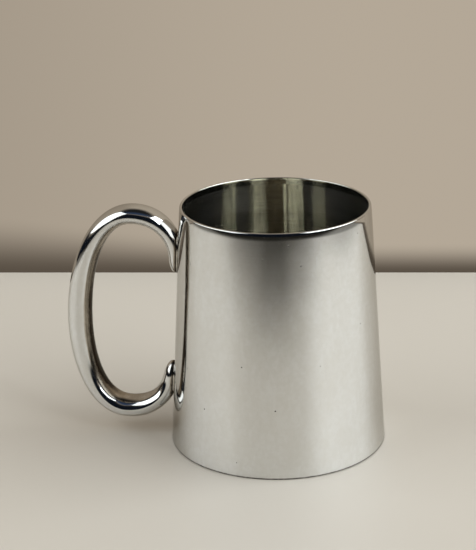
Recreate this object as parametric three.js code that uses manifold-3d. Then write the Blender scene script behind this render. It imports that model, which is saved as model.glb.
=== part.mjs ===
// A plain one-pint tankard in silver plate: a straight tapering drum with a rounded
// lip, a base let into its foot, and a hollow loop handle in two halves, oval at its
// bends, whose curled ends lie against the wall and are soldered to it.
// Millimetres, +Z up. The drum is turned about Z and the handle reaches along -X.
import * as THREE from "three";
import { mergeVertices } from "three/addons/utils/BufferGeometryUtils.js";
import Module from "manifold-3d";

// Drum, with its outside radii at the foot and at the lip
const bodyHeight = 110;
const footRadius = 48.7;
const rimRadius = 42.2;
const wallThickness = 1.1;

// Wire that thickens and rounds the lip
const rimWireHeight = 3.2;
const rimWireThickness = 1.3;
const lipInnerRound = 0.3;
const lipOuterRound = 0.5;
const lipLean = 10;

// Base plate, a shallow pan set upside down inside the foot
const plateThickness = 1;
const plateRise = 5;
const plateCrown = 1.2;
const plateCornerRadius = 2.2;
const flangeClearance = 0.4;

// Handle centreline: reaches are measured out from the wall, rises up from the
// foot and drops down from the lip; a pull is how far the line keeps its heading
const upperTipReach = 1.6;
const upperTipDrop = 33.2;
const upperTipLean = 13;
const upperTipPull = 15.2;
const crownReach = 21.9;
const crownDrop = 6.2;
const crownPullIn = 14.2;
const crownPullOut = 15.7;
const gripReach = 45.1;
const gripRise = 51.5;
const gripPullIn = 28.7;
const gripPullOut = 18.5;
const heelReach = 20.8;
const heelRise = 10.6;
const heelPullIn = 16;
const heelPullOut = 9.8;
const lowerTipReach = 1.6;
const lowerTipRise = 33.8;
const lowerTipPull = 17.4;

// Handle tube, round at the grip and oval at its bends: half its thickness in the
// loop's plane and half its width across it, the rounded length of its ends and its metal
const upperEndRadius = 3.4;
const crownRadius = 4.25;
const gripRadius = 5.6;
const heelRadius = 4.75;
const lowerEndRadius = 3.55;
const upperEndHalfWidth = 4.4;
const crownHalfWidth = 7.4;
const gripHalfWidth = 5.6;
const heelHalfWidth = 7.6;
const lowerEndHalfWidth = 4.9;
const upperTipLength = 7.4;
const lowerTipLength = 7.2;
const shellThickness = 0.9;

// Soldered joints
const solderGap = 0.3;
const seamGap = 0.2;
const handleFilletLeg = 1.2;
const baseFilletLeg = 1;

// Facets
const drumSides = 72;
const arcSteps = 4;
const handleSides = 20;
const handleRingSpacing = 3.5;
const hollowSides = 12;
const hollowRingSpacing = 6;
const tipRings = 4;
const footprintSteps = 18;

// Reach of the blocks that cut the handle, past the part itself
const cutMargin = 5;
const bisections = 40;

const polished = new THREE.MeshStandardMaterial({ color: 0xd8d5cd, roughness: 0.08, metalness: 1 });
const satin = new THREE.MeshStandardMaterial({ color: 0xc4c0b4, roughness: 0.3, metalness: 1 });
const solder = new THREE.MeshStandardMaterial({ color: 0xbdb8ac, roughness: 0.25, metalness: 1 });

const wasm = await Module();
wasm.setup();

function wallRadius(height) {
  return footRadius + (rimRadius - footRadius) * (height / bodyHeight);
}

function wallInside(height) {
  return wallRadius(height) - wallThickness;
}

// A profile of [radius, height] points turned about Z
function turned(profile) {
  const points = profile.map(([radius, height]) => new THREE.Vector2(radius, height));
  return new THREE.LatheGeometry(points, drumSides).rotateX(Math.PI / 2);
}

// Points of an elliptical arc from one angle to another, in degrees
function arc(centre, across, up, from, to) {
  const points = [];
  for (let step = 0; step <= arcSteps; step += 1) {
    const angle = THREE.MathUtils.degToRad(from + ((to - from) * step) / arcSteps);
    points.push([centre[0] + across * Math.cos(angle), centre[1] + up * Math.sin(angle)]);
  }
  return points;
}

function named(name, geometry, material) {
  geometry.deleteAttribute("normal");
  geometry.deleteAttribute("uv");
  const whole = mergeVertices(geometry);
  whole.computeVertexNormals();
  const mesh = new THREE.Mesh(whole, material);
  mesh.name = name;
  return mesh;
}

// The drum's wall: a tapering sleeve open at both ends, standing on its lower edge
function bodyWall() {
  const top = bodyHeight - rimWireHeight;
  return turned([
    [wallInside(0), 0],
    [wallRadius(0), 0],
    [wallRadius(top), top],
    [wallInside(top), top],
    [wallInside(0), 0],
  ]);
}

// The wire on the wall's top edge, flush outside: its face leans in more and more and
// turns over to a narrow lip
function rimWire() {
  const bottom = bodyHeight - rimWireHeight;
  const inside = rimRadius - rimWireThickness;
  const lean = THREE.MathUtils.degToRad(lipLean);
  const taper = (footRadius - rimRadius) / bodyHeight;
  const rise = rimWireHeight - lipOuterRound * (1 - Math.sin(lean));
  const face = [];
  for (let step = 0; step <= arcSteps; step += 1) {
    const share = step / arcSteps;
    const drawnIn = rise * share * (taper + ((Math.tan(lean) - taper) * share) / 2);
    face.push([wallRadius(bottom) - drawnIn, bottom + rise * share]);
  }
  const turn = face.at(-1);
  const overCentre = [turn[0] - lipOuterRound * Math.cos(lean), turn[1] - lipOuterRound * Math.sin(lean)];
  const over = arc(overCentre, lipOuterRound, lipOuterRound, lipLean, 90);
  const edgeCentre = [inside + lipInnerRound, bodyHeight - lipInnerRound];
  const innerEdge = arc(edgeCentre, lipInnerRound, lipInnerRound, 90, 180);
  const foot = [wallInside(bottom), bottom];
  return turned([foot, ...face, ...over.slice(1), ...innerEdge, foot]);
}

// The base plate: a crowned disc whose rim turns down inside the wall's foot
function basePlate() {
  const top = plateRise + plateThickness;
  const seat = (height) => wallInside(height) - solderGap;
  const corner = [seat(top) - plateCornerRadius, top - plateCornerRadius];
  const innerRadius = plateCornerRadius - plateThickness;
  const outside = arc(corner, plateCornerRadius, plateCornerRadius, 0, 90);
  const inside = arc(corner, innerRadius, innerRadius, 90, 0);
  return turned([
    [0, plateRise + plateCrown],
    ...inside,
    [seat(flangeClearance) - plateThickness, flangeClearance],
    [seat(flangeClearance), flangeClearance],
    ...outside,
    [0, top + plateCrown],
  ]);
}

// The bead of solder that seals the base plate's rounded edge to the wall
function baseSolder() {
  const top = plateRise + plateThickness;
  const seat = (height) => wallInside(height) - solderGap;
  const corner = [seat(top) - plateCornerRadius, top - plateCornerRadius];
  const grown = plateCornerRadius + solderGap;
  const atWall = THREE.MathUtils.radToDeg(Math.acos(plateCornerRadius / grown));
  const underside = arc(corner, grown, grown, 90, atWall);
  const upperEdge = [seat(top + baseFilletLeg), top + baseFilletLeg];
  return turned([...underside, upperEdge, underside[0]]);
}

// Places that the handle's centreline passes through, with its heading there in degrees
const stations = [
  {
    reach: upperTipReach,
    height: bodyHeight - upperTipDrop,
    heading: 90 - upperTipLean,
    pullOut: upperTipPull,
    radius: upperEndRadius,
    halfWidth: upperEndHalfWidth,
  },
  {
    reach: crownReach,
    height: bodyHeight - crownDrop,
    heading: 180,
    pullIn: crownPullIn,
    pullOut: crownPullOut,
    radius: crownRadius,
    halfWidth: crownHalfWidth,
  },
  {
    reach: gripReach,
    height: gripRise,
    heading: 270,
    pullIn: gripPullIn,
    pullOut: gripPullOut,
    radius: gripRadius,
    halfWidth: gripHalfWidth,
  },
  {
    reach: heelReach,
    height: heelRise,
    heading: 0,
    pullIn: heelPullIn,
    pullOut: heelPullOut,
    radius: heelRadius,
    halfWidth: heelHalfWidth,
  },
  {
    reach: lowerTipReach,
    height: lowerTipRise,
    heading: 90,
    pullIn: lowerTipPull,
    radius: lowerEndRadius,
    halfWidth: lowerEndHalfWidth,
  },
];

function stationPoint(station) {
  return new THREE.Vector3(-wallRadius(station.height) - station.reach, 0, station.height);
}

function headingOf(station) {
  const angle = THREE.MathUtils.degToRad(station.heading);
  return new THREE.Vector3(Math.cos(angle), 0, Math.sin(angle));
}

function handleCentreline() {
  const line = new THREE.CurvePath();
  for (let index = 1; index < stations.length; index += 1) {
    const from = stations[index - 1];
    const to = stations[index];
    const start = stationPoint(from);
    const end = stationPoint(to);
    const leaving = start.clone().addScaledVector(headingOf(from), from.pullOut);
    const arriving = end.clone().addScaledVector(headingOf(to), -to.pullIn);
    line.add(new THREE.CubicBezierCurve3(start, leaving, arriving, end));
  }
  return line;
}

const centreline = handleCentreline();
const stationDistances = [0, ...centreline.getCurveLengths()];
const handleLength = stationDistances.at(-1);

// The centreline's point and the direction across it, which faces the wall at both
// ends; past its ends the line runs straight on
function crossSection(distance) {
  const inside = THREE.MathUtils.clamp(distance, 0, handleLength);
  const point = centreline.getPoint(inside / handleLength);
  const along = centreline.getTangent(inside / handleLength);
  point.addScaledVector(along, distance - inside);
  return { point, across: new THREE.Vector3(along.z, 0, -along.x) };
}

function domed(share) {
  const short = 1 - THREE.MathUtils.clamp(share, 0, 1);
  return Math.sqrt(1 - short * short);
}

// Half the handle's thickness and half its width, grown outwards by growth, tips and all
function handleSize(distance, growth) {
  const inside = THREE.MathUtils.clamp(distance, 0, handleLength);
  const index = Math.max(1, stationDistances.findIndex((length) => length >= inside));
  const share = THREE.MathUtils.smoothstep(inside, stationDistances[index - 1], stationDistances[index]);
  const upper = domed((distance + growth) / (upperTipLength + growth));
  const lower = domed((handleLength - distance + growth) / (lowerTipLength + growth));
  const between = (size) => THREE.MathUtils.lerp(stations[index - 1][size], stations[index][size], share);
  return {
    radius: (between("radius") + growth) * upper * lower,
    halfWidth: (between("halfWidth") + growth) * upper * lower,
  };
}

// Distances of the handle's rings: close together on the rounded tips, even elsewhere,
// and with one ring at each station
function ringDistances(growth, spacing) {
  const upperTip = [];
  const lowerTip = [];
  for (let ring = 0; ring < tipRings; ring += 1) {
    const share = 1 - Math.cos((Math.PI / 2) * (ring / tipRings));
    upperTip.push(share * (upperTipLength + growth) - growth);
    lowerTip.unshift(handleLength + growth - share * (lowerTipLength + growth));
  }
  const bounds = [...stationDistances];
  bounds[0] = upperTipLength;
  bounds[bounds.length - 1] = handleLength - lowerTipLength;
  const between = [bounds[0]];
  for (let index = 1; index < bounds.length; index += 1) {
    const length = bounds[index] - bounds[index - 1];
    const count = Math.max(1, Math.ceil(length / spacing));
    for (let ring = 1; ring <= count; ring += 1) {
      between.push(bounds[index - 1] + (length * ring) / count);
    }
  }
  return [...upperTip, ...between, ...lowerTip];
}

// The handle as a solid rod, grown outwards by growth: a ball whose rings are drawn
// out along the centreline
function handleRod(growth, sides, spacing) {
  const distances = ringDistances(growth, spacing);
  const rings = distances.length - 1;
  const rod = new THREE.SphereGeometry(1, sides, rings);
  const places = rod.attributes.position;
  const sections = distances.map((distance) => ({
    ...crossSection(distance),
    ...handleSize(distance, growth),
  }));
  const spot = new THREE.Vector3();
  for (let index = 0; index < places.count; index += 1) {
    spot.fromBufferAttribute(places, index);
    const ring = Math.round((Math.acos(THREE.MathUtils.clamp(spot.y, -1, 1)) / Math.PI) * rings);
    const { point, across, radius, halfWidth } = sections[ring];
    const turn = Math.atan2(spot.z, spot.x);
    spot.copy(point).addScaledVector(across, radius * Math.cos(turn));
    spot.y += halfWidth * Math.sin(turn);
    places.setXYZ(index, spot.x, spot.y, spot.z);
  }
  return rod;
}

function solidOf(geometry) {
  geometry.deleteAttribute("normal");
  geometry.deleteAttribute("uv");
  const merged = mergeVertices(geometry);
  return new wasm.Manifold(
    new wasm.Mesh({
      numProp: 3,
      vertProperties: merged.attributes.position.array,
      triVerts: Uint32Array.from(merged.index.array),
    }),
  );
}

function geometryOf(solid) {
  const mesh = solid.getMesh();
  const geometry = new THREE.BufferGeometry();
  geometry.setAttribute("position", new THREE.BufferAttribute(mesh.vertProperties, 3));
  geometry.setIndex(new THREE.BufferAttribute(mesh.triVerts, 1));
  return geometry;
}

// What the drum takes out of the handle: its outside, with room for solder
function drumBlock() {
  const low = -cutMargin;
  const high = bodyHeight + cutMargin;
  return turned([
    [0, low],
    [wallRadius(low) + solderGap, low],
    [wallRadius(high) + solderGap, high],
    [0, high],
  ]);
}

// A block over all of the handle on one side of its middle plane
function sideBlock(side) {
  const length = 2 * (footRadius + gripReach + gripRadius);
  const width = Math.max(...stations.map((station) => station.halfWidth)) + cutMargin;
  const block = new THREE.BoxGeometry(length, width, 2 * bodyHeight);
  return block.translate(-length / 2, side * (seamGap / 2 + width / 2), bodyHeight / 2);
}

function hollowHandle() {
  const outside = solidOf(handleRod(0, handleSides, handleRingSpacing));
  const hollow = solidOf(handleRod(-shellThickness, hollowSides, hollowRingSpacing));
  return outside.subtract(hollow).subtract(solidOf(drumBlock()));
}

function handleHalf(side) {
  return geometryOf(hollowHandle().intersect(solidOf(sideBlock(side))));
}

// The value between low and high where a measure that changes sign there is nil
function crossing(low, high, measure) {
  let [from, to] = [low, high];
  for (let round = 0; round < bisections; round += 1) {
    const middle = (from + to) / 2;
    if (Math.sign(measure(middle)) === Math.sign(measure(from))) {
      from = middle;
    } else {
      to = middle;
    }
  }
  return (from + to) / 2;
}

// The two soldered ends: where each tip is, and the way the distance runs from it
const upperEnd = { tip: 0, way: 1 };
const lowerEnd = { tip: handleLength, way: -1 };

// The closed line in which one end of the handle, grown by growth, meets the wall's
// outside, lifted by lift
function footprint(end, growth, lift) {
  const surface = (depth, turn) => {
    const distance = end.tip + end.way * depth;
    const { point, across } = crossSection(distance);
    const { radius, halfWidth } = handleSize(distance, growth);
    point.addScaledVector(across, radius * Math.cos(turn));
    point.y -= end.way * halfWidth * Math.sin(turn);
    return point;
  };
  const clearance = (depth, turn) => {
    const point = surface(depth, turn);
    return Math.hypot(point.x, point.y) - wallRadius(point.z) - lift;
  };
  const facingWall = (depth) => clearance(depth, 0);
  let sunk = -growth;
  while (facingWall(sunk) >= 0) {
    sunk += solderGap;
  }
  let free = sunk;
  while (facingWall(free) < 0) {
    free += solderGap;
  }
  const start = crossing(sunk - solderGap, sunk, facingWall);
  const finish = crossing(free - solderGap, free, facingWall);
  const line = [];
  for (let step = 0; step < 2 * footprintSteps; step += 1) {
    const round = (Math.PI * step) / footprintSteps;
    const depth = start + ((finish - start) * (1 - Math.cos(round))) / 2;
    const turn = step % footprintSteps === 0 ? 0 : crossing(0, Math.PI, (angle) => clearance(depth, angle));
    line.push(surface(depth, step <= footprintSteps ? turn : -turn));
  }
  return line;
}

// The fillet of solder round one end: a three-sided ring with an edge in the corner,
// an edge out on the wall and an edge up on the handle
function handleSolder(end) {
  const onWall = footprint(end, handleFilletLeg, solderGap);
  const onHandle = footprint(end, solderGap, handleFilletLeg);
  const inCorner = footprint(end, solderGap, solderGap);
  const edges = [onWall, onHandle, inCorner];
  const count = onWall.length;
  const ring = new THREE.TorusGeometry(1, 0.5, edges.length, count);
  const places = ring.attributes.position;
  for (let index = 0; index < places.count; index += 1) {
    const edge = edges[Math.floor(index / (count + 1)) % edges.length];
    const spot = edge[(index % (count + 1)) % count];
    places.setXYZ(index, spot.x, spot.y, spot.z);
  }
  return ring;
}

const drum = new THREE.Group();
drum.add(named("body_wall", bodyWall(), polished));
drum.add(named("rim_wire", rimWire(), polished));
drum.add(named("base_plate", basePlate(), satin));
drum.add(named("base_solder", baseSolder(), solder));

const handle = new THREE.Group();
handle.add(named("handle_half_left", handleHalf(1), polished));
handle.add(named("handle_half_right", handleHalf(-1), polished));
handle.add(named("upper_handle_solder", handleSolder(upperEnd), solder));
handle.add(named("lower_handle_solder", handleSolder(lowerEnd), solder));

// The whole is centred on the origin between the grip's outside and the foot
const tankard = new THREE.Group();
const gripOutside = wallRadius(gripRise) + gripReach + gripRadius;
tankard.position.x = (gripOutside - footRadius) / 2;
tankard.add(drum, handle);

export default tankard;
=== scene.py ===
"""A plain one-pint tankard in polished silver plate, built over its packed frame.

Every length is in metres, in the frame's own axes: the drum stands on z = 0 and the handle
reaches along -x. Each shape is worked out with numpy as a profile turned about the drum's
axis or a ring carried along the handle's centreline.
"""

from math import cos, degrees, pi, radians, sin, tan

import bpy
import numpy as np
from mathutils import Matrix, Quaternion, Vector


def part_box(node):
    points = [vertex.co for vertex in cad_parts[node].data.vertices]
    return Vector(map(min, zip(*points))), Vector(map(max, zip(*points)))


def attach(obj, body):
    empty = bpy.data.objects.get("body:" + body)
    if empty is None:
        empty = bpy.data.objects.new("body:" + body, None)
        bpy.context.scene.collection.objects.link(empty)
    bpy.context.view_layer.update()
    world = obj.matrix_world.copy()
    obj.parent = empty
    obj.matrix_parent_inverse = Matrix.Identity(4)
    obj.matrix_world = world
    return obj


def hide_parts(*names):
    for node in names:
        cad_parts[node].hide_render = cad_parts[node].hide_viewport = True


bl_info = {
    "name": "Silver Tankard",
    "version": (1, 0, 0),
    "blender": (4, 5, 0),
    "location": "View3D > Sidebar > Tankard",
    "description": "Builds a polished silver-plate tankard and its stage",
    "category": "Add Mesh",
}

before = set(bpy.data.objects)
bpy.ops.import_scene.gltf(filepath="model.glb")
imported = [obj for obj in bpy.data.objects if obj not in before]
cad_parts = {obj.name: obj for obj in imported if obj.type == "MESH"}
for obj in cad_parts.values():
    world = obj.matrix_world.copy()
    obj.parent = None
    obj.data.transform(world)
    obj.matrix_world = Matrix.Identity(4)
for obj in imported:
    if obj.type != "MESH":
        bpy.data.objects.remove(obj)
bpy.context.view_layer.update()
WALL_LOW, WALL_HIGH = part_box("body_wall")
LIP_LOW, LIP_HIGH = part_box("rim_wire")

# Fineness of the meshes and of the search for the lines in which the handle meets the wall
SIDES_ROUND_DRUM = 288
SIDES_ROUND_BASE = 192
SIDES_ROUND_HANDLE = 72
STEPS_ROUND_FILLET = 240
RING_SPACING = 0.0007
TIP_RINGS = 16
PATH_STEPS = 500
SEARCH_DEPTH = 0.045
SEARCH_STEPS = 6000
HALVINGS = 40
SAME_POINT = 1e-9
CREASE = radians(35.0)

# Depth of scratches and turned lines, and of the drum's upright waves
FINE_RELIEF = 0.0000015
UPRIGHT_RELIEF = 0.0002


def setting(vector=False, **fixed):
    """Gives a short way to write settings of one kind."""
    prop = bpy.props.FloatVectorProperty if vector else bpy.props.FloatProperty

    def written(name, description, default):
        return prop(name=name, description=description, default=default, **fixed)

    return written


# Lengths are in metres and colours in linear light; a brightness of 1 is white
length = setting(precision=5, unit="LENGTH", subtype="DISTANCE")
pair = setting(vector=True, size=2, precision=5, unit="LENGTH")
place = setting(vector=True, size=3, unit="LENGTH", subtype="TRANSLATION")
angle = setting(unit="ROTATION", subtype="ANGLE")
share = setting(min=0.0, max=1.0, subtype="FACTOR")
colour = setting(vector=True, size=3, min=0.0, max=1.0, subtype="COLOR")
brightness = setting(min=0.0)
focal_length = setting(unit="CAMERA", subtype="DISTANCE_CAMERA")


class TankardDrum(bpy.types.PropertyGroup):
    """Sizes of the drum, its lip and its base."""

    axis: length("Axis", "From the frame's origin to the drum's axis", (WALL_LOW.x + WALL_HIGH.x) / 2)
    height: length("Height", "From the table to the top of the lip", LIP_HIGH.z)
    foot_radius: length("Foot radius", "Outside radius at the table", (WALL_HIGH.y - WALL_LOW.y) / 2)
    rim_radius: length("Lip radius", "Outside radius of the cone at the lip", 0.0422)
    wall: length("Wall", "Thickness of the wall", 0.0011)
    foot_round: length("Foot round", "Rounding of the worn edges of the foot", 0.0004)
    lip_height: length("Lip height", "Height over which the lip is rounded", LIP_HIGH.z - LIP_LOW.z)
    lip_width: length("Lip width", "Thickness of the wire at the lip", 0.0013)
    lip_bead: length("Lip bead", "Depth of the thickening inside the lip", 0.0009)
    lip_rounds: pair("Lip rounds", "Rounding of the lip's inner and outer edges", (0.0003, 0.0005))
    lip_lean: angle("Lip lean", "Lean of the lip's face where it turns over", radians(10.0))
    plate: length("Base thickness", "Thickness of the base plate", 0.001)
    plate_rise: length("Base rise", "Height of the base plate's underside", 0.005)
    plate_crown: length("Base crown", "How far the middle of the base stands up", 0.0012)
    plate_corner: length("Base corner", "Outside radius of the base plate's bend", 0.0022)
    flange_clearance: length("Flange clearance", "Height of the base flange's edge", 0.0004)
    base_fillet: length("Base fillet", "Height of the solder bead on the wall", 0.001)
    joint_gap: length("Joint gap", "Room that the solder fills round the base", 0.0003)


class TankardHandle(bpy.types.PropertyGroup):
    """Sizes of the handle: reaches go out from the wall, rises up from the foot, drops down from the lip."""

    upper_tip_reach: length("Upper tip reach", "Reach of the centreline at the upper tip", 0.0016)
    upper_tip_drop: length("Upper tip drop", "Drop of the upper tip", 0.0332)
    upper_tip_lean: angle("Upper tip lean", "Lean from the upright", radians(13.0))
    upper_tip_pull: length("Upper tip pull", "Heading held after the upper tip", 0.0152)
    crown_reach: length("Crown reach", "Reach of the handle's highest place", 0.0219)
    crown_drop: length("Crown drop", "Drop of the crown's centre", 0.0062)
    crown_pulls: pair("Crown pulls", "Heading held before and after the crown", (0.0142, 0.0157))
    grip_reach: length("Grip reach", "Reach of the grip", 0.04508)
    grip_rise: length("Grip rise", "Rise of the grip's outermost place", 0.0515)
    grip_pulls: pair("Grip pulls", "Heading held before and after the grip", (0.0287, 0.0185))
    heel_reach: length("Heel reach", "Reach of the handle's lowest place", 0.0208)
    heel_rise: length("Heel rise", "Rise of the heel's centre", 0.0106)
    heel_pulls: pair("Heel pulls", "Heading held before and after the heel", (0.016, 0.0098))
    lower_tip_reach: length("Lower tip reach", "Reach of the centreline at the lower tip", 0.0016)
    lower_tip_rise: length("Lower tip rise", "Rise of the lower tip", 0.0338)
    lower_tip_pull: length("Lower tip pull", "Heading held before the lower tip", 0.0174)
    upper_end_halves: pair("Upper end", "Half the tube's thickness and width there", (0.0034, 0.0044))
    crown_halves: pair("Crown", "Half the tube's thickness and width there", (0.00425, 0.0074))
    grip_halves: pair("Grip", "Half the tube's thickness and width there", (0.0056, 0.0056))
    heel_halves: pair("Heel", "Half the tube's thickness and width there", (0.00475, 0.0076))
    lower_end_halves: pair("Lower end", "Half the tube's thickness and width there", (0.00355, 0.0049))
    tip_lengths: pair("Tip lengths", "Rounded length of the upper and the lower tip", (0.0074, 0.0072))
    fillet: length("Solder fillet", "Width of the solder on the wall and on the handle", 0.0012)
    sunk: length("Sunk", "How deep the handle's cut ends lie in the wall's metal", 0.0005)


class TankardFinish(bpy.types.PropertyGroup):
    """Colours and gloss of the metal."""

    silver: colour("Silver", "Clean polished silver", (0.785, 0.795, 0.795))
    warm_silver: colour("Warm silver", "Silver with a breath of tarnish", (0.715, 0.71, 0.685))
    satin: colour("Satin silver", "Spun silver inside the drum and under the base", (0.975, 0.965, 0.90))
    # The next colour is painted shade: it darkens the inside wall deep down, where less light reaches.
    dull: colour("Dull silver", "Spun silver down inside the drum", (0.36, 0.35, 0.29))
    solder: colour("Solder", "Polished hard solder", (0.60, 0.57, 0.51))
    # This black also paints shade: in the crevices by the handle's ends, and with dirt along the drum's
    # foot.
    tarnish: colour("Tarnish", "Black tarnish where a cloth does not reach", (0.035, 0.026, 0.018))
    film: colour("Film", "Thin brown tarnish round the black", (0.38, 0.335, 0.275))
    polish: share("Polish", "Roughness of the polished metal", 0.07)
    satin_roughness: share("Satin roughness", "Roughness of the spun metal", 0.115)


class TankardStage(bpy.types.PropertyGroup):
    """Floor, background, lamps, dark cards and camera."""

    turn: angle("Turn", "Turn of the stage about the drum's axis", radians(5.6))
    floor_back: length("Floor back", "Distance of the floor's rear edge from the drum's axis", 0.2187)
    floor_reach: length("Floor reach", "How far the floor runs to the front and to the sides", 3.0)
    floor: colour("Floor", "Colour of the pale floor", (0.59, 0.543, 0.475))
    # Painted light: the right backdrop colour is lighter, as if more light fell on that side.
    backdrop_left: colour("Backdrop left", "Colour behind the floor on the left", (0.36, 0.305, 0.24))
    backdrop_right: colour("Backdrop right", "Colour behind the floor on the right", (0.455, 0.39, 0.31))
    backdrop_foot: colour("Backdrop foot", "Shade where the backdrop meets the floor", (0.10, 0.08, 0.06))
    overhead: colour("Overhead", "Colour above the object", (0.03, 0.048, 0.09))
    rear_overhead: colour("Rear overhead", "Colour above and behind the object", (0.015, 0.015, 0.015))
    front_card: colour("Front card", "Colour of the dark card in front", (0.004, 0.006, 0.010))
    # Painted shade: this colour darkens the floor in the metal's view, where the floor's light falls off to
    # the front and sides.
    floor_card: colour("Floor card", "Colour of the dark card that lies in front", (0.014, 0.013, 0.010))
    lamp_distance: length("Lamp distance", "Distance of the lamps from the drum's axis", 1.6)
    left_lamp: brightness("Left lamp", "Brightness of the left lamp", 1.65)
    right_lamp: brightness("Right lamp", "Brightness of the right lamp", 3.6)
    lamp_colour: colour("Lamp colour", "Colour of the lamps' light", (0.90, 0.965, 1.0))
    top_lamp: brightness("Top lamp", "Brightness of the fill lamp above", 0.45)
    camera_place: place("Camera place", "Where the camera stands", (0.12335, -0.70815, 0.33335))
    camera_aim: place("Camera aim", "Point in the middle of the picture", (0.005846, 0.004683, 0.074659))
    camera_roll: angle("Camera roll", "Turn about the line of sight", radians(1.27))
    lens: focal_length("Lens", "Focal length", 111.72)


GROUPS = {
    "tankard_drum": TankardDrum,
    "tankard_handle": TankardHandle,
    "tankard_finish": TankardFinish,
    "tankard_stage": TankardStage,
}


# Profiles and paths, as arrays of points

def arc(centre, across, up, first, last, count):
    """Points of an elliptical arc: the centre plus across times the cosine and up times the sine."""
    turns = np.radians(np.linspace(first, last, count))
    return np.stack([centre[0] + across * np.cos(turns), centre[1] + up * np.sin(turns)], axis=1)


def cubic(corners, shares):
    """Points of a cubic run: its four corners weighted (1-t)^3, 3t(1-t)^2, 3t^2(1-t) and t^3."""
    t = shares[:, None]
    s = 1.0 - t
    return s**3 * corners[0] + 3 * t * s**2 * corners[1] + 3 * t**2 * s * corners[2] + t**3 * corners[3]


def joined(*parts):
    """The parts laid end to end, without the points that repeat."""
    points = np.concatenate(parts)
    steps = np.linalg.norm(np.diff(points, axis=0), axis=1)
    return points[np.concatenate([[True], steps > SAME_POINT])]


def eased(value, low, high):
    """Goes from 0 at low to 1 at high, gently at both ends; low may be the greater."""
    part = np.clip((value - low) / (high - low), 0.0, 1.0)
    return part * part * (3.0 - 2.0 * part)


def wall_radius(drum, height):
    """Outside radius of the drum: it falls evenly from the foot to the lip."""
    return drum.foot_radius + (drum.rim_radius - drum.foot_radius) * height / drum.height


def wall_inside(drum, height):
    """Inside radius of the drum's wall."""
    return wall_radius(drum, height) - drum.wall


def plate_bend(drum):
    """Centre of the bend at the base plate's edge."""
    top = drum.plate_rise + drum.plate
    seat = wall_inside(drum, top) - drum.joint_gap
    return seat - drum.plate_corner, top - drum.plate_corner


# Meshes from grids of points

def grid_faces(rows, columns, rows_close, columns_close=True):
    """Four-sided faces of a grid whose rows and columns may close on themselves."""
    row = np.arange(rows if rows_close else rows - 1)[:, None]
    column = np.arange(columns if columns_close else columns - 1)[None, :]
    below = row * columns
    above = ((row + 1) % rows) * columns
    beside = (column + 1) % columns
    corners = [below + column, below + beside, above + beside, above + column]
    return np.stack(np.broadcast_arrays(*corners), axis=-1).reshape(-1, 4)


def pole_faces(pole, first, columns, flip):
    """Triangles from a pole to the ring of points that starts at first."""
    column = np.arange(columns)
    beside = (column + 1) % columns
    sides = (beside, column) if flip else (column, beside)
    return np.stack([np.full(columns, pole), first + sides[0], first + sides[1]], axis=1)


def enclosed_volume(points, faces):
    """Six times the volume inside the faces: each corner triangle's triple product, added up."""
    total = 0.0
    for index in range(1, faces.shape[1] - 1):
        a, b, c = points[faces[:, 0]], points[faces[:, index]], points[faces[:, index + 1]]
        total += np.einsum("ij,ij->", a, np.cross(b, c))
    return total


def put_in_scene(name, data):
    """A new object in the scene."""
    made = bpy.data.objects.new(name, data)
    bpy.context.scene.collection.objects.link(made)
    return made


def closed_piece(name, grid, rows_close):
    """A piece from a grid of points: rows follow the profile or the path, columns go round.
    Where the rows do not close, the first and last rows shrink to single points, the poles.
    Faces are turned outwards by the sign of the volume that they enclose."""
    rows, columns = grid.shape[:2]
    points = grid.reshape(-1, 3)
    if rows_close:
        groups = [grid_faces(rows, columns, True)]
    else:
        ends = [points[:columns].mean(axis=0), points[-columns:].mean(axis=0)]
        points = np.concatenate([points[columns:-columns], ends])
        rows -= 2
        count = rows * columns
        groups = [
            grid_faces(rows, columns, False),
            pole_faces(count, 0, columns, True),
            pole_faces(count + 1, count - columns, columns, False),
        ]
    if sum(enclosed_volume(points, faces) for faces in groups) < 0:
        groups = [faces[:, ::-1] for faces in groups]
    mesh = bpy.data.meshes.new(name)
    mesh.from_pydata(points.tolist(), [], [face for faces in groups for face in faces.tolist()])
    mesh.shade_smooth()
    mesh.set_sharp_from_angle(angle=CREASE)
    mesh.validate()
    return put_in_scene(name, mesh)


def turned(name, drum, profile, sides, rows_close=True):
    """A profile of (radius, height) turned about the axis: x = axis + r cos a, y = r sin a, z = height."""
    turns = np.linspace(0.0, 2.0 * pi, sides, endpoint=False)
    radius = profile[:, :1]
    across = drum.axis + radius * np.cos(turns)
    aside = radius * np.sin(turns)
    up = np.broadcast_to(profile[:, 1:], across.shape)
    return closed_piece(name, np.stack([across, aside, up], axis=-1), rows_close)


def settle(piece, nodes, slot, *materials):
    """Puts a finished piece in the frame: its body, the nodes it stands for and its metal; the slot is not
    used.
    """
    for material in materials:
        piece.data.materials.append(material)
    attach(piece, "root")
    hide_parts(*nodes)


def inside_finish(piece, drum, limit):
    """Gives the second metal to the faces nearer to the axis than a limit set by their height."""
    centres = np.zeros(len(piece.data.polygons) * 3, dtype=np.float32)
    piece.data.polygons.foreach_get("center", centres)
    centres = centres.reshape(-1, 3)
    inward = np.hypot(centres[:, 0] - drum.axis, centres[:, 1]) < limit(centres[:, 2])
    piece.data.polygons.foreach_set("material_index", inward.astype(np.int32))


def mark(piece, name, values):
    """Keeps one number for each point of a piece, for its material to read."""
    layer = piece.data.attributes.new(name, "FLOAT", "POINT")
    layer.data.foreach_set("value", np.ascontiguousarray(values, dtype=np.float32).ravel())


# The handle's centreline and its oval section

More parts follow.
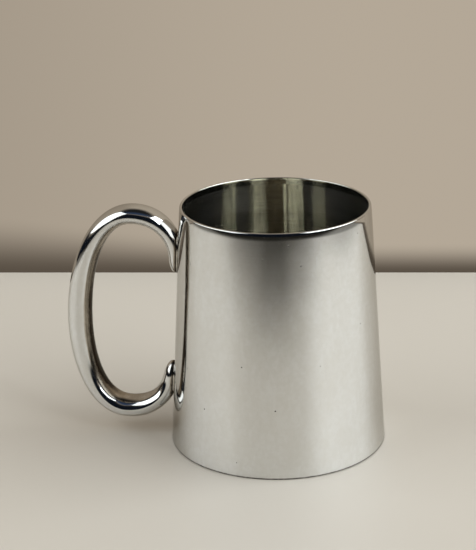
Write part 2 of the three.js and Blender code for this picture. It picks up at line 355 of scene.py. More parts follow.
def stations(drum, handle):
    """Stops of the centreline: reach, height, heading, the lengths for which the heading is held before
    and after, half the thickness and half the width."""
    top = drum.height
    upright = pi / 2
    return [
        (handle.upper_tip_reach, top - handle.upper_tip_drop, upright - handle.upper_tip_lean,
         0.0, handle.upper_tip_pull, *handle.upper_end_halves),
        (handle.crown_reach, top - handle.crown_drop, 2 * upright,
         *handle.crown_pulls, *handle.crown_halves),
        (handle.grip_reach, handle.grip_rise, 3 * upright, *handle.grip_pulls, *handle.grip_halves),
        (handle.heel_reach, handle.heel_rise, 0.0, *handle.heel_pulls, *handle.heel_halves),
        (handle.lower_tip_reach, handle.lower_tip_rise, upright,
         handle.lower_tip_pull, 0.0, *handle.lower_end_halves),
    ]


class HandleLine:
    """The handle's centreline: four cubic runs in the plane y = 0, measured along their length."""

    def __init__(self, drum, handle):
        reach, height, way, before, after, *halves = np.array(stations(drum, handle)).T
        spots = np.stack([-wall_radius(drum, height) - reach, height], axis=1)
        heads = np.stack([np.cos(way), np.sin(way)], axis=1)
        leaving = spots + heads * after[:, None]
        arriving = spots - heads * before[:, None]
        shares = np.linspace(0.0, 1.0, PATH_STEPS)
        corners = zip(spots[:-1], leaving[:-1], arriving[1:], spots[1:])
        self.points = joined(*[cubic(run, shares) for run in corners])
        steps = np.linalg.norm(np.diff(self.points, axis=0), axis=1)
        self.distances = np.concatenate([[0.0], np.cumsum(steps)])
        self.total = self.distances[-1]
        self.headings = np.gradient(self.points, self.distances, axis=0)
        self.stops = self.distances[::PATH_STEPS - 1]
        self.halves = np.stack(halves, axis=1)
        self.upper_tip, self.lower_tip = handle.tip_lengths

    def section(self, distance):
        """Centre of the section at a distance, and the direction across it that faces the wall at both ends;
        past its ends the line runs straight on."""
        inside = np.clip(distance, 0.0, self.total)
        spot, head = (
            np.stack([np.interp(inside, self.distances, column) for column in values.T], axis=-1)
            for values in (self.points, self.headings)
        )
        head /= np.linalg.norm(head, axis=-1, keepdims=True)
        spot = spot + head * (distance - inside)[..., None]
        return spot, np.stack([head[..., 1], -head[..., 0]], axis=-1)

    def halves_at(self, distance, growth=0.0):
        """Half the tube's thickness and half its width, grown by growth: they ease from one stop to the
        next, and at each tip they follow a dome, the root of 1 - (1 - d)^2 for the share d of its length."""
        inside = np.clip(distance, 0.0, self.total)
        index = np.clip(np.searchsorted(self.stops, inside), 1, len(self.stops) - 1)
        ease = eased(inside, self.stops[index - 1], self.stops[index])[..., None]
        halves = self.halves[index - 1] * (1.0 - ease) + self.halves[index] * ease
        upper = np.clip((distance + growth) / (self.upper_tip + growth), 0.0, 1.0)
        lower = np.clip((self.total - distance + growth) / (self.lower_tip + growth), 0.0, 1.0)
        domes = np.sqrt(1.0 - (1.0 - upper) ** 2) * np.sqrt(1.0 - (1.0 - lower) ** 2)
        return (halves + growth) * domes[..., None]

    def surface(self, distance, turn, growth=0.0):
        """Point on the tube, about the drum's axis: the section's centre, plus half the thickness times the
        cosine of the turn across it and half the width times the sine of the turn along y."""
        spot, across = self.section(distance)
        halves = self.halves_at(distance, growth)
        reach = halves[..., 0] * np.cos(turn)
        x = spot[..., 0] + across[..., 0] * reach
        z = spot[..., 1] + across[..., 1] * reach
        return np.stack([x, halves[..., 1] * np.sin(turn), z], axis=-1)

    def rings(self):
        """Distances of the tube's rings: close together at the tips, even between them."""
        bend = 1.0 - np.cos(np.linspace(0.0, pi / 2, TIP_RINGS))
        first = bend * self.upper_tip
        last = self.total - bend[::-1] * self.lower_tip
        count = int((last[0] - first[-1]) / RING_SPACING)
        return np.concatenate([first, np.linspace(first[-1], last[0], count)[1:-1], last])


def clearance(drum, points, lift=0.0):
    """How far points about the drum's axis stand off the wall's outside, lifted by lift."""
    return np.hypot(points[..., 0], points[..., 1]) - wall_radius(drum, points[..., 2]) - lift


def footprint(drum, line, upper, growth, lift):
    """Closed line in which one end of the handle, grown by growth, meets the wall lifted by lift. The depth
    from the tip goes out and back along a cosine, and the turn at each depth is found by halving."""
    def distance_at(depth):
        return depth if upper else line.total - depth

    depths = np.linspace(-growth, SEARCH_DEPTH, SEARCH_STEPS)
    facing = clearance(drum, line.surface(distance_at(depths), np.zeros_like(depths), growth), lift)
    first = int(np.argmax(facing < 0))
    last = first + int(np.argmax(facing[first:] >= 0))
    start, finish = (
        np.interp(0.0, [facing[first], facing[first - 1]], [depths[first], depths[first - 1]]),
        np.interp(0.0, [facing[last - 1], facing[last]], [depths[last - 1], depths[last]]),
    )
    way = np.linspace(0.0, 2.0 * pi, STEPS_ROUND_FILLET, endpoint=False)
    depth = start + (finish - start) * (1.0 - np.cos(way)) / 2.0
    low, high = np.zeros_like(depth), np.full_like(depth, pi)
    for _ in range(HALVINGS):
        middle = (low + high) / 2.0
        sunk = clearance(drum, line.surface(distance_at(depth), middle, growth), lift) < 0
        low, high = np.where(sunk, middle, low), np.where(sunk, high, middle)
    turn = np.where(way <= pi, low, -low)
    return line.surface(distance_at(depth), turn, growth)


# Materials

class Nodes:
    """The node tree of a material or a world, with short ways to add and join nodes."""

    def __init__(self, owner):
        owner.use_nodes = True
        self.tree = owner.node_tree

    def fill(self, node, inputs):
        """Sets a node's inputs to numbers and colours, or joins them to sockets."""
        for key, value in inputs.items():
            socket = node.inputs[key]
            if isinstance(value, bpy.types.NodeSocket):
                self.tree.links.new(value, socket)
            else:
                socket.default_value = (*value, 1.0) if socket.type == "RGBA" else value

    def add(self, kind, output, inputs=None, **settings):
        """One output of a new node that has these inputs and settings."""
        node = self.tree.nodes.new(kind)
        for key, value in settings.items():
            setattr(node, key, value)
        self.fill(node, inputs or {})
        return node.outputs[output]

    def noise(self, vector, scale=1.0, detail=2.0, roughness=0.5, distortion=0.0):
        """Soft noise from 0 to 1."""
        inputs = {"Vector": vector, "Scale": scale, "Detail": detail, "Roughness": roughness}
        return self.add("ShaderNodeTexNoise", "Fac", {**inputs, "Distortion": distortion})

    def between(self, value, low, high, start=0.0, end=1.0):
        """Eases from start to end as the value goes from low to high."""
        inputs = {"Value": value, "From Min": low, "From Max": high, "To Min": start, "To Max": end}
        return self.add("ShaderNodeMapRange", "Result", inputs, interpolation_type="SMOOTHSTEP")

    def math(self, operation, first, second):
        """One operation on two values."""
        return self.add("ShaderNodeMath", "Value", {0: first, 1: second}, operation=operation)

    def times(self, first, second):
        """The product of two values."""
        return self.math("MULTIPLY", first, second)

    def plus(self, total, value, part=1.0):
        """A total with part of a value added to it."""
        return self.math("ADD", total, self.times(value, part))

    def mix(self, part, first, second):
        """One colour laid over another."""
        return self.add("ShaderNodeMix", 2, {0: part, 6: first, 7: second}, data_type="RGBA")

    def dot(self, vector, way):
        """How far a vector goes along a fixed direction."""
        return self.add("ShaderNodeVectorMath", "Value", {0: vector, 1: tuple(way)}, operation="DOT_PRODUCT")


class Metal(Nodes):
    """A metal's node tree."""

    def __init__(self, name):
        self.material = bpy.data.materials.new(name)
        super().__init__(self.material)
        self.shader = self.tree.nodes["Principled BSDF"]
        self.fill(self.shader, {"Metallic": 1.0})
        self.object_place = self.add("ShaderNodeTexCoord", "Object")

    def mapped(self, scale, turn=(0.0, 0.0, 0.0), move=(0.0, 0.0, 0.0)):
        """Object coordinates turned, stretched and moved."""
        inputs = {"Vector": self.object_place, "Scale": scale, "Rotation": turn, "Location": move}
        return self.add("ShaderNodeMapping", "Vector", inputs)

    def bump(self, height, distance, normal=None):
        """Relief of the given depth, over the relief before it."""
        inputs = {"Height": height, "Distance": distance}
        if normal is not None:
            inputs["Normal"] = normal
        return self.add("ShaderNodeBump", "Normal", inputs)

    def finish(self, base, roughness, normal):
        """Joins the finished colour, roughness and relief to the shader."""
        self.fill(self.shader, {"Base Color": base, "Roughness": roughness, "Normal": normal})
        return self.material


def hairlines(metal):
    """Three sets of fine polishing scratches, each a long stretched noise cut to its peaks."""
    total = None
    for turn, seed in (((0.3, 0.2, 0.5), 0.0), ((1.2, -0.4, 1.9), 7.0), ((-0.7, 0.9, 2.8), 19.0)):
        field = metal.noise(metal.mapped((2600.0, 2600.0, 38.0), turn, (seed, seed, seed)), detail=1.0)
        lines = metal.between(field, 0.66, 0.76)
        total = lines if total is None else metal.math("MAXIMUM", total, lines)
    return total


def pits(metal, scale, kept, size):
    """Tiny pits: the middles of a few cells of a cell pattern."""
    inputs = {"Vector": metal.object_place, "Scale": scale, "Randomness": 1.0}
    cells = metal.add("ShaderNodeTexVoronoi", "Color", inputs)
    tone = metal.add("ShaderNodeSeparateColor", "Red", {"Color": cells})
    chosen = metal.math("GREATER_THAN", tone, 1.0 - kept)
    return metal.times(chosen, metal.between(cells.node.outputs["Distance"], size, size * 0.5))


def polished_silver(finish, name, with_tarnish_and_shade=False, turned_lines=False):
    """Mirror polish with gentle waves, hairlines, pits, smudges and wipe marks. A turned piece has upright
    waves, level lines and a dark line along its foot, dirt with painted contact shade. Where a piece carries
    a tarnish number, brown and then black gathers in speckles: tarnish, and painted shade in the handle's
    crevices."""
    metal = Metal(name)
    metal.fill(metal.shader, {"Specular Tint": (0.72, 0.71, 0.69)})
    spot = metal.object_place
    black = finish.tarnish
    smudge = metal.noise(spot, 34.0)
    grain = metal.noise(spot, 420.0, 3.0, 0.6)
    wipes = metal.noise(metal.mapped((260.0, 260.0, 90.0)), 1.0, 3.0, 0.6, 1.0)
    lines = hairlines(metal)
    specks = pits(metal, 120.0, 0.90, 0.048)
    base = finish.silver
    for field, low, high, most in (
        (smudge, 0.40, 0.72, 0.45), (grain, 0.40, 0.60, 0.40), (wipes, 0.38, 0.62, 0.40),
    ):
        base = metal.mix(metal.between(field, low, high, 0.0, most), base, finish.warm_silver)
    base = metal.mix(metal.times(specks, 0.90), base, black)
    roughness = metal.between(smudge, 0.30, 0.70, finish.polish * 0.90, finish.polish * 1.10)
    roughness = metal.plus(roughness, metal.between(grain, 0.35, 0.75, -0.010, 0.018))
    roughness = metal.plus(roughness, lines, 0.08)
    roughness = metal.plus(roughness, specks, 0.25)
    if with_tarnish_and_shade:
        # This number is tarnish on the loop's inner side, and painted shade in the crevices by the wall.
        amount = metal.add("ShaderNodeAttribute", "Fac", attribute_name="tarnish")
        speckle = metal.noise(spot, 900.0, 4.0, 0.7)
        cloud = metal.noise(spot, 130.0, 3.0, 0.6)
        cover = metal.times(amount, metal.between(cloud, 0.25, 0.62, 0.75, 1.0))
        cover = metal.times(cover, metal.between(speckle, 0.30, 0.62, 0.80, 1.0))
        base = metal.mix(metal.between(cover, 0.0, 0.5), base, finish.film)
        base = metal.mix(metal.between(cover, 0.4, 1.0), base, black)
        roughness = metal.plus(roughness, cover, 0.20)
    wave_depth = 0.0001 if turned_lines else 0.00003
    normal = metal.bump(metal.noise(spot, 42.0, detail=1.0), wave_depth)
    if turned_lines:
        # Painted contact shade mixed with dirt: black darkens a band under a millimetre high round the foot,
        # where the drum meets the floor.
        foot = metal.between(metal.dot(spot, (0.0, 0.0, 1.0)), 0.0009, 0.0004)
        grime_and_contact_shade = metal.times(foot, metal.between(grain, 0.3, 0.6, 0.6, 0.9))
        base = metal.mix(grime_and_contact_shade, base, black)
        roughness = metal.plus(roughness, grime_and_contact_shade, 0.20)
        upright_waves = metal.noise(metal.mapped((75.0, 75.0, 9.0)), detail=1.0)
        normal = metal.bump(upright_waves, UPRIGHT_RELIEF, normal)
        level_lines = metal.noise(metal.mapped((14.0, 14.0, 1500.0)))
        normal = metal.bump(level_lines, FINE_RELIEF, normal)
    normal = metal.bump(lines, FINE_RELIEF, normal)
    normal = metal.bump(metal.times(specks, -1.0), 0.00005, normal)
    return metal.finish(base, roughness, normal)


def satin_silver(finish, name, drum, rings):
    """Spun silver: fine turned lines, level round the wall or in rings on the base, with duller, warmer
    patches.
    The wall is also a little uneven from side to side, which breaks its upright streaks of light, and it is
    darkened deep down as painted shade."""
    metal = Metal(name)
    if rings:
        flat = metal.mapped((1.0, 1.0, 0.0), move=(-drum.axis, 0.0, 0.0))
        radius = metal.add("ShaderNodeVectorMath", "Value", {0: flat}, operation="LENGTH")
        outward = metal.add("ShaderNodeCombineXYZ", "Vector", {"X": radius})
        lines = metal.noise(outward, 1900.0, 3.0, 0.65)
    else:
        lines = metal.noise(metal.mapped((14.0, 14.0, 1900.0)), 1.0, 3.0, 0.65)
        around = metal.add("ShaderNodeTangent", "Tangent", direction_type="RADIAL", axis="Z")
        spun = {"Anisotropic": 1.0, "Anisotropic Rotation": 0.25, "Tangent": around}
        metal.fill(metal.shader, spun)
    smudge = metal.noise(metal.object_place, 60.0, 3.0)
    grain = metal.noise(metal.object_place, 700.0, 3.0, 0.6)
    base = metal.mix(metal.between(smudge, 0.35, 0.75, 0.0, 0.35), finish.satin, finish.warm_silver)
    if not rings:
        # Painted shade: the inside wall darkens below about 9 cm, where less light reaches down into the
        # drum.
        height = metal.dot(metal.object_place, (0.0, 0.0, 1.0))
        base = metal.mix(metal.between(height, 0.082, 0.102, 0.6, 0.0), base, finish.dull)
    level = finish.satin_roughness
    roughness = metal.between(smudge, 0.30, 0.70, level * 0.92, level * 1.08)
    roughness = metal.plus(roughness, metal.between(lines, 0.30, 0.70, -0.03, 0.03))
    normal = metal.bump(lines, FINE_RELIEF)
    normal = metal.bump(grain, FINE_RELIEF / 5, normal)
    if not rings:
        flutes = metal.noise(metal.mapped((200.0, 200.0, 3.0)), detail=1.0)
        normal = metal.bump(flutes, UPRIGHT_RELIEF, normal)
    return metal.finish(base, roughness, normal)


def solder_silver(finish, name):
    """Hard solder: a little greyer and duller than the sheet, with pinholes and tarnish in its hollows."""
    metal = Metal(name)
    cloud = metal.noise(metal.object_place, 260.0, 3.0, 0.6)
    speckle = metal.noise(metal.object_place, 1500.0, 3.0, 0.65)
    amount = metal.times(metal.between(cloud, 0.40, 0.70), metal.between(speckle, 0.35, 0.65, 0.4, 1.0))
    base = metal.mix(metal.times(amount, 0.7), finish.solder, finish.tarnish)
    roughness = metal.between(cloud, 0.30, 0.70, finish.polish * 1.1, finish.polish * 1.9)
    normal = metal.bump(cloud, 0.00003)
    normal = metal.bump(speckle, 0.000006, normal)
    return metal.finish(base, roughness, normal)


# Pieces

class TankardDrumWall(bpy.types.Operator):
    """Turns the tapering wall of the drum."""

    bl_idname = "tankard.drum_wall"
    bl_label = "Drum wall"

    def execute(self, context):
        drum = context.scene.tankard_drum
        finish = context.scene.tankard_finish
        top = drum.height - drum.lip_height
        low = drum.foot_round
        outside = np.linspace((wall_radius(drum, low), low), (wall_radius(drum, top), top), 40)
        inside = np.linspace((wall_inside(drum, top), top), (wall_inside(drum, low), low), 40)
        heel_out = arc((wall_radius(drum, low) - low, low), low, low, -90, 0, 7)
        heel_in = arc((wall_inside(drum, low) + low, low), low, low, 180, 270, 7)
        profile = joined(heel_out, outside, inside, heel_in)
        piece = turned("drum_wall", drum, profile, SIDES_ROUND_DRUM)
        outer = polished_silver(finish, "polished_silver_drum", turned_lines=True)
        inner = satin_silver(finish, "spun_silver_inside", drum, False)
        settle(piece, ["body_wall"], "polished_silver", outer, inner)
        inside_finish(piece, drum, lambda height: wall_radius(drum, height) - drum.wall / 2)
        return {"FINISHED"}


class TankardLip(bpy.types.Operator):
    """Turns the wire that thickens the lip: its face leans in by a square law and then turns over."""

    bl_idname = "tankard.lip"
    bl_label = "Lip"

    def execute(self, context):
        drum = context.scene.tankard_drum
        top = drum.height
        bottom = top - drum.lip_height
        inner = drum.rim_radius - drum.lip_width
        small, turn = drum.lip_rounds
        start = np.array([wall_radius(drum, bottom), bottom])
        taper = (drum.foot_radius - drum.rim_radius) / drum.height
        rise = drum.lip_height - turn * (1.0 - sin(drum.lip_lean))
        lean = tan(drum.lip_lean)
        steps = np.linspace(0.0, 1.0, 24)[:, None]
        drawn_in = rise * (taper * steps + (lean - taper) * steps**2 / 2.0)
        face = np.concatenate([start[0] - drawn_in, bottom + rise * steps], axis=1)
        over_centre = face[-1] - turn * np.array([cos(drum.lip_lean), sin(drum.lip_lean)])
        over = arc(over_centre, turn, turn, degrees(drum.lip_lean), 90, 16)
        edge_centre = (inner + small, top - small)
        edge = arc(edge_centre, small, small, 90, 180, 9)
        neck = np.array([wall_inside(drum, top - drum.lip_bead), top - drum.lip_bead])
        back = np.linspace(neck, (wall_inside(drum, bottom), bottom), 10)
        piece = turned("lip_wire", drum, joined(face, over, edge, back), SIDES_ROUND_DRUM)
        finish = context.scene.tankard_finish
        outside = polished_silver(finish, "polished_silver_lip")
        inside = satin_silver(finish, "spun_silver_lip", drum, False)
        settle(piece, ["rim_wire"], "polished_silver", outside, inside)
        inside_finish(piece, drum, lambda height: np.full_like(height, inner + small / 2))
        return {"FINISHED"}


class TankardBase(bpy.types.Operator):
    """Turns the base plate, a shallow pan set upside down inside the foot."""

    bl_idname = "tankard.base"
    bl_label = "Base plate"

    def execute(self, context):
        drum = context.scene.tankard_drum
        top = drum.plate_rise + drum.plate
        low = drum.flange_clearance
        corner = plate_bend(drum)
        inner = drum.plate_corner - drum.plate
        slope = wall_inside(drum, low) - drum.joint_gap
        crowned = np.linspace(0.0, corner[0], 40)
        dome = drum.plate_crown * (1.0 - (crowned / corner[0]) ** 2)
        upper = np.stack([crowned, top + dome], axis=1)
        under = np.stack([crowned, drum.plate_rise + dome], axis=1)
        outer_bend = arc(corner, drum.plate_corner, drum.plate_corner, 90, 0, 12)
        inner_bend = arc(corner, inner, inner, 0, 90, 12)
        edge = drum.plate / 2
        flange = arc((slope - edge, low + edge), edge, edge, 0, -180, 12)
        profile = joined(upper, outer_bend, flange, inner_bend, under[::-1])
        piece = turned("base_pan", drum, profile, SIDES_ROUND_BASE, rows_close=False)
        metal = satin_silver(context.scene.tankard_finish, "spun_silver_base", drum, True)
        settle(piece, ["base_plate"], "satin_silver", metal)
        return {"FINISHED"}


class TankardBaseSolder(bpy.types.Operator):
    """Turns the hollow bead of solder that seals the base plate to the wall."""

    bl_idname = "tankard.base_solder"
    bl_label = "Base solder"

    def execute(self, context):
        drum = context.scene.tankard_drum
        top = drum.plate_rise + drum.plate
        corner = plate_bend(drum)
        sunk = drum.plate_corner - drum.joint_gap / 2
        film = drum.joint_gap / 6
        start = np.array([corner[0], top + film])
        high = top + drum.base_fillet
        end = np.array([wall_inside(drum, high) + film, high])
        hollow = np.array([end[0], start[1]])
        bend = 0.67
        corners = [start, start + (hollow - start) * bend, end + (hollow - end) * bend, end]
        face = cubic(corners, np.linspace(0.0, 1.0, 16))
        low = corner[1]
        wall_side = np.linspace(end, (wall_inside(drum, low) + film, low), 6)
        plate_side = arc(corner, sunk, sunk, 0, 90, 12)
        piece = turned("base_bead", drum, joined(face, wall_side, plate_side), SIDES_ROUND_BASE)
        metal = solder_silver(context.scene.tankard_finish, "solder_base")
        settle(piece, ["base_solder"], "silver_solder", metal)
        return {"FINISHED"}


class TankardHandleTube(bpy.types.Operator):
    """Draws the hollow handle as one polished tube with domed ends cut to the drum."""

    bl_idname = "tankard.handle"
    bl_label = "Handle"

    def execute(self, context):
        drum = context.scene.tankard_drum
        handle = context.scene.tankard_handle
        line = HandleLine(drum, handle)
        turns = np.linspace(0.0, 2.0 * pi, SIDES_ROUND_HANDLE, endpoint=False)
        distance, turn = np.meshgrid(line.rings(), turns, indexing="ij")
        points = line.surface(distance, turn)
        room = clearance(drum, points)
        limit = wall_radius(drum, points[..., 2]) - handle.sunk
        radius = np.hypot(points[..., 0], points[..., 1])
        points[..., :2] *= np.maximum(1.0, limit / radius)[..., None]
        points[..., 0] += drum.axis
        piece = closed_piece("handle_tube", points, rows_close=False)
        metal = polished_silver(context.scene.tankard_finish, "polished_silver_handle", with_tarnish_and_shade=True)
        settle(piece, ["handle_half_left", "handle_half_right"], "polished_silver", metal)
        self.mark_tarnish_and_crevice_shade(piece, line, distance, turn, room)
        return {"FINISHED"}

    def mark_tarnish_and_crevice_shade(self, piece, line, distance, turn, room):
        """Tarnish gathers on the loop's inner side, darkest in its middle and between the grip and the heel,
        narrower at the heel. Where there is little room between the handle and the wall the number is
        painted crevice shade, with some tarnish."""
        stops = [*line.stops[:3], (line.stops[2] + line.stops[3]) / 2.0, *line.stops[3:]]
        narrowing = np.interp(distance, stops, [0.0, 0.0, 0.0, 0.05, 0.20, 0.20])
        strength = np.interp(distance, stops, [0.2, 0.7, 1.0, 1.2, 0.6, 0.2])
        inward = -np.cos(turn) - narrowing
        depth = eased(inward, 0.42, 0.58) * (0.62 + 0.60 * eased(inward, 0.78, 0.92))
        # Painted crevice shade with some tarnish: the number grows where the handle comes within 2.6 mm of
        # the wall.
        values = np.maximum(strength * depth, 1.2 * eased(room, 0.0026, 0.0006))
        ends = [values[0].mean(), values[-1].mean()]
        mark(piece, "tarnish", np.clip(np.concatenate([values[1:-1].ravel(), ends]), 0.0, 1.3))


class TankardHandleSolder(bpy.types.Operator):
    """Lays the hollow fillet of solder round each end of the handle."""

    bl_idname = "tankard.handle_solder"
    bl_label = "Handle solder"

    def execute(self, context):
        drum = context.scene.tankard_drum
        handle = context.scene.tankard_handle
        line = HandleLine(drum, handle)
        metal = solder_silver(context.scene.tankard_finish, "solder_handle")
        for name, node, upper in (
            ("upper_fillet", "upper_handle_solder", True),
            ("lower_fillet", "lower_handle_solder", False),
        ):
            points = self.fillet(drum, line, upper, handle.fillet)
            points[..., 0] += drum.axis
            settle(closed_piece(name, points, rows_close=True), [node], "silver_solder", metal)
        return {"FINISHED"}

    def fillet(self, drum, line, upper, leg):
        """A ring whose section goes from the wall to the handle on a curve that starts along the one and
        ends along the other: the wall's edge, the corner and the handle's edge weighted (1-t)^2, 2t(1-t)
        and t^2. Its back lies in the metal."""
        skin = 0.00002
        depth = 0.0002
        on_wall = footprint(drum, line, upper, leg, -skin)
        on_handle = footprint(drum, line, upper, -skin, leg)
        corner = footprint(drum, line, upper, 0.0, 0.0)
        buried = footprint(drum, line, upper, -depth, -depth)
        t = np.linspace(0.0, 1.0, 14)[:, None, None]
        face = (1 - t) ** 2 * on_wall + 2 * t * (1 - t) * corner + t**2 * on_handle
        return np.concatenate([face, buried[None]])


# Stage

def on_stage(drum, stage, across, ahead, up):
    """Points of the stage, turned about the drum's axis by the stage's turn; ahead is towards the viewer."""
    cosine, sine = cos(stage.turn), sin(stage.turn)
    x = drum.axis + across * cosine + ahead * sine
    y = across * sine - ahead * cosine
    return np.stack(np.broadcast_arrays(x, y, up), axis=-1)


def round_the_drum(drum, stage, azimuth, elevation, distance):
    """Points on a sphere about the drum, in degrees: azimuth to the viewer's right, elevation up."""
    side, rise = np.radians(azimuth), np.radians(elevation)
    level = distance * np.cos(rise)
    return on_stage(drum, stage, level * np.sin(side), level * np.cos(side), distance * np.sin(rise))


def stage_sheet(name, grid, material):
    """An open sheet of the stage from a grid of points."""
    mesh = bpy.data.meshes.new(name)
    mesh.from_pydata(grid.reshape(-1, 3).tolist(), [], grid_faces(*grid.shape[:2], False, False).tolist())
    mesh.materials.append(material)
    sheet = put_in_scene(name, mesh)
    return sheet


class TankardStageOperator(bpy.types.Operator):
    """Sets the pale floor, the plain background, the soft lamps, the dark cards, two of them painted shade,
    and the camera.
    """

    bl_idname = "tankard.stage"
    bl_label = "Stage"

    def execute(self, context):
        stage = context.scene.tankard_stage
        drum = context.scene.tankard_drum
        self.floor(drum, stage)
        self.background(context.scene, drum, stage)
        self.lamps(drum, stage)
        self.cards(drum, stage)
        self.camera(context.scene, stage)
        context.scene.view_settings.view_transform = "Standard"
        return {"FINISHED"}

    def floor(self, drum, stage):
        """A plain level sheet, which ends behind the drum."""
        material = bpy.data.materials.new("pale_floor")
        nodes = Nodes(material)
        looks = {"Base Color": stage.floor, "Roughness": 0.55, "IOR": 2.35}
        nodes.fill(nodes.tree.nodes["Principled BSDF"], looks)
        across = np.array([-1.0, 1.0])[None, :] * stage.floor_reach
        ahead = np.array([stage.floor_reach, -stage.floor_back])[:, None]
        stage_sheet("pale_floor", on_stage(drum, stage, across, ahead, 0.0), material)

    def background(self, scene, drum, stage):
        """A plain backdrop, lighter to the right as painted light from that side, with a soft shade along
        its foot, and darkness overhead. Only the camera sees this shade; the metal mirrors the painted shade
        of the low card that stands there."""
        world = bpy.data.worlds.new("background")
        nodes = Nodes(world)
        way = nodes.add("ShaderNodeTexCoord", "Generated")
        edge = on_stage(drum, stage, np.array([-1.0, 0.0, 1.0]), -stage.floor_back, 0.0)
        sideways = edge[2] - edge[1]
        seen = edge - np.array(stage.camera_place)
        above = np.cross(seen[2], seen[0])
        above /= np.linalg.norm(above)
        # Painted light: the backdrop brightens from left to right, as if more light fell on its right.
        side = nodes.between(nodes.dot(way, sideways), -0.30, 0.02)
        plain = nodes.mix(side, stage.backdrop_left, stage.backdrop_right)
        reach = nodes.between(side, 0.0, 1.0, 0.036, 0.0175)
        shade = nodes.between(nodes.math("ABSOLUTE", nodes.dot(way, above), 0.0), 0.0, reach)
        shaded = nodes.mix(shade, stage.backdrop_foot, plain)
        camera_ray = nodes.add("ShaderNodeLightPath", "Is Camera Ray")
        backdrop = nodes.mix(camera_ray, plain, shaded)
        height = nodes.dot(way, (0.0, 0.0, 1.0))
        backdrop = nodes.mix(nodes.between(height, -0.45, -0.38), stage.floor, backdrop)
        ahead = on_stage(drum, stage, 0.0, 1.0, 0.0) - on_stage(drum, stage, 0.0, 0.0, 0.0)
        forward = nodes.between(nodes.dot(way, ahead), -0.1, 0.3)
        overhead = nodes.mix(forward, stage.rear_overhead, stage.overhead)
        colour = nodes.mix(nodes.between(height, 0.77, 0.94), backdrop, overhead)
        nodes.fill(nodes.tree.nodes["Background"], {"Color": colour})
        scene.world = world

    def lamps(self, drum, stage):
        """A broad upright lamp on each side, from a low to a high elevation as seen from the handle, and a
        fill lamp above that the metal doesn't mirror. A lamp's power is pi times its area and brightness."""
        eye = 0.1
        tint = tuple(stage.lamp_colour)
        for name, azimuth, spread, low, high, glow in (
            ("left_lamp", -76.0, 33.0, 12.0, 65.0, stage.left_lamp),
            ("right_lamp", 78.0, 38.0, 17.0, 62.0, stage.right_lamp),
        ):
            bottom, top = (eye + stage.lamp_distance * tan(radians(rise)) for rise in (low, high))
            width = 2.0 * stage.lamp_distance * tan(radians(spread))
            foot = round_the_drum(drum, stage, azimuth, 0.0, stage.lamp_distance)
            middle = Vector((foot[0], foot[1], (bottom + top) / 2.0))
            self.lamp(name, middle, Vector((drum.axis, 0.0, middle.z)), (width, top - bottom), glow, tint)
        above = Vector(round_the_drum(drum, stage, 120.0, 75.0, stage.lamp_distance))
        fill = self.lamp("top_lamp", above, Vector((drum.axis, 0.0, 0.0)), (1.8, 1.8), stage.top_lamp, tint)
        fill.visible_glossy = False

    def lamp(self, name, spot, aim, size, glow, tint):
        """One lamp at a spot, turned to its aim and unseen by the camera."""
        light = bpy.data.lights.new(name, "AREA")
        light.shape = "RECTANGLE"
        light.size, light.size_y = size
        light.energy = pi * size[0] * size[1] * glow
        light.color = tint
        lamp = put_in_scene(name, light)
        lamp.location = spot
        lamp.rotation_euler = (aim - spot).to_track_quat("-Z", "Y").to_euler()
        lamp.visible_camera = False
        return lamp

    def cards(self, drum, stage):
        """Dark cards that only the metal sees: one hangs in front, behind the lamps. The one that lies on
        the floor is painted shade where the floor's light falls off; the low one along the floor's rear edge
        is painted shade too."""
        azimuth = np.linspace(-140.0, 140.0, 113)[None, :]
        elevation = np.linspace(-4.0, 80.0, 43)[:, None]
        behind_lamps = stage.lamp_distance + 1.0
        hung = round_the_drum(drum, stage, azimuth, elevation, behind_lamps)
        low = eased(elevation, 16.0, 8.0) * eased(np.abs(azimuth), 138.0, 115.0)
        gap = eased(elevation, 66.0, 50.0) * eased(np.abs(azimuth), 50.0, 34.0)
        self.card("front_card", hung, np.maximum(low, gap), stage.front_card)
        # Painted shade on the floor, seen only by the metal: the floor's light falls off to the front and to
        # the sides.
        reach = np.concatenate([np.linspace(0.0, 0.9, 61), [stage.floor_reach]])
        across = np.concatenate([-reach[:0:-1], reach])[None, :]
        ahead = np.concatenate([[-stage.floor_back], reach])[:, None]
        laid = on_stage(drum, stage, across, ahead, 0.001)
        lit = 0.35 + 0.045 * eased(np.abs(across), 0.05, 0.20)
        kept = 1.0 / (1.0 + (np.maximum(ahead, 0.0) / lit) ** 5)
        beside = 0.65 * np.maximum(eased(-across, 0.50, 0.85), eased(across, 0.34, 0.60))
        dark = 1.0 - kept * (1.0 - beside)
        self.card("floor_card", laid, dark, stage.floor_card)
        # Painted shade seen only by the metal: a low strip along the floor's rear edge, dark at the floor
        # and fading upwards, for the shade at the backdrop's foot.
        up = np.linspace(0.0, 0.016, 9)[:, None]
        ends = np.array([[-1.0, 1.0]]) * stage.floor_reach
        stood = on_stage(drum, stage, ends, -stage.floor_back, up)
        dark = np.broadcast_to(eased(up, 0.016, 0.006), stood.shape[:2])
        self.card("painted_rear_shade", stood, dark, stage.backdrop_foot)

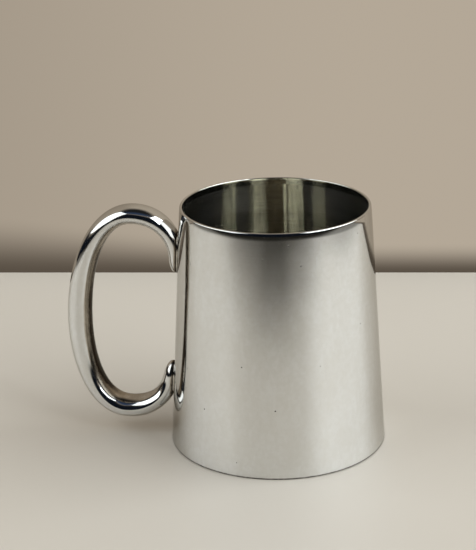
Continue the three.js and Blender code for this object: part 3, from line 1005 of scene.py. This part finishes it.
    def card(self, name, grid, dark, colour):
        """A card of one colour that fades away where its darkness goes to nothing."""
        material = bpy.data.materials.new(name)
        nodes = Nodes(material)
        tree = nodes.tree
        tree.nodes.remove(tree.nodes["Principled BSDF"])
        fade = nodes.add("ShaderNodeAttribute", "Fac", attribute_name="dark")
        clear = nodes.add("ShaderNodeBsdfTransparent", "BSDF")
        tone = nodes.add("ShaderNodeEmission", "Emission", {"Color": colour})
        mixed = nodes.add("ShaderNodeMixShader", "Shader", {0: fade, 1: clear, 2: tone})
        nodes.fill(tree.nodes["Material Output"], {"Surface": mixed})
        sheet = stage_sheet(name, grid, material)
        mark(sheet, "dark", dark)
        sheet.visible_camera = False
        sheet.visible_diffuse = False
        sheet.visible_shadow = False

    def camera(self, scene, stage):
        """The camera looks from its place to its aim, turned a little about its line of sight."""
        data = bpy.data.cameras.new("camera")
        data.sensor_width = 36.0
        data.lens = stage.lens
        data.clip_start = 0.01
        camera = put_in_scene("camera", data)
        camera.location = stage.camera_place
        toward = Vector(stage.camera_aim) - Vector(stage.camera_place)
        turn = Quaternion((0.0, 0.0, 1.0), -stage.camera_roll)
        camera.rotation_mode = "QUATERNION"
        camera.rotation_quaternion = toward.to_track_quat("-Z", "Y") @ turn
        scene.camera = camera


class TankardPanel(bpy.types.Panel):
    """Lists the tankard's pieces, sizes and colours."""

    bl_idname = "VIEW3D_PT_tankard"
    bl_label = "Tankard"
    bl_space_type = "VIEW_3D"
    bl_region_type = "UI"
    bl_category = "Tankard"

    def draw(self, context):
        for operator in OPERATORS:
            self.layout.operator(operator.bl_idname)
        for group, kind in GROUPS.items():
            box = self.layout.box()
            box.label(text=kind.__doc__.split(":")[0].rstrip("."))
            for key in kind.__annotations__:
                box.prop(getattr(context.scene, group), key)


OPERATORS = (
    TankardDrumWall,
    TankardLip,
    TankardBase,
    TankardBaseSolder,
    TankardHandleTube,
    TankardHandleSolder,
    TankardStageOperator,
)
CLASSES = (*GROUPS.values(), *OPERATORS, TankardPanel)


def register():
    """Adds the classes, and their settings to the scene."""
    for kind in CLASSES:
        bpy.utils.register_class(kind)
    for name, kind in GROUPS.items():
        setattr(bpy.types.Scene, name, bpy.props.PointerProperty(type=kind))


def unregister():
    """Takes the settings and the classes away again."""
    for name in GROUPS:
        delattr(bpy.types.Scene, name)
    for kind in reversed(CLASSES):
        bpy.utils.unregister_class(kind)


def main():
    """Builds every piece and the stage."""
    register()
    bpy.ops.tankard.drum_wall()
    bpy.ops.tankard.lip()
    bpy.ops.tankard.base()
    bpy.ops.tankard.base_solder()
    bpy.ops.tankard.handle()
    bpy.ops.tankard.handle_solder()
    bpy.ops.tankard.stage()


if __name__ == "__main__":
    main()
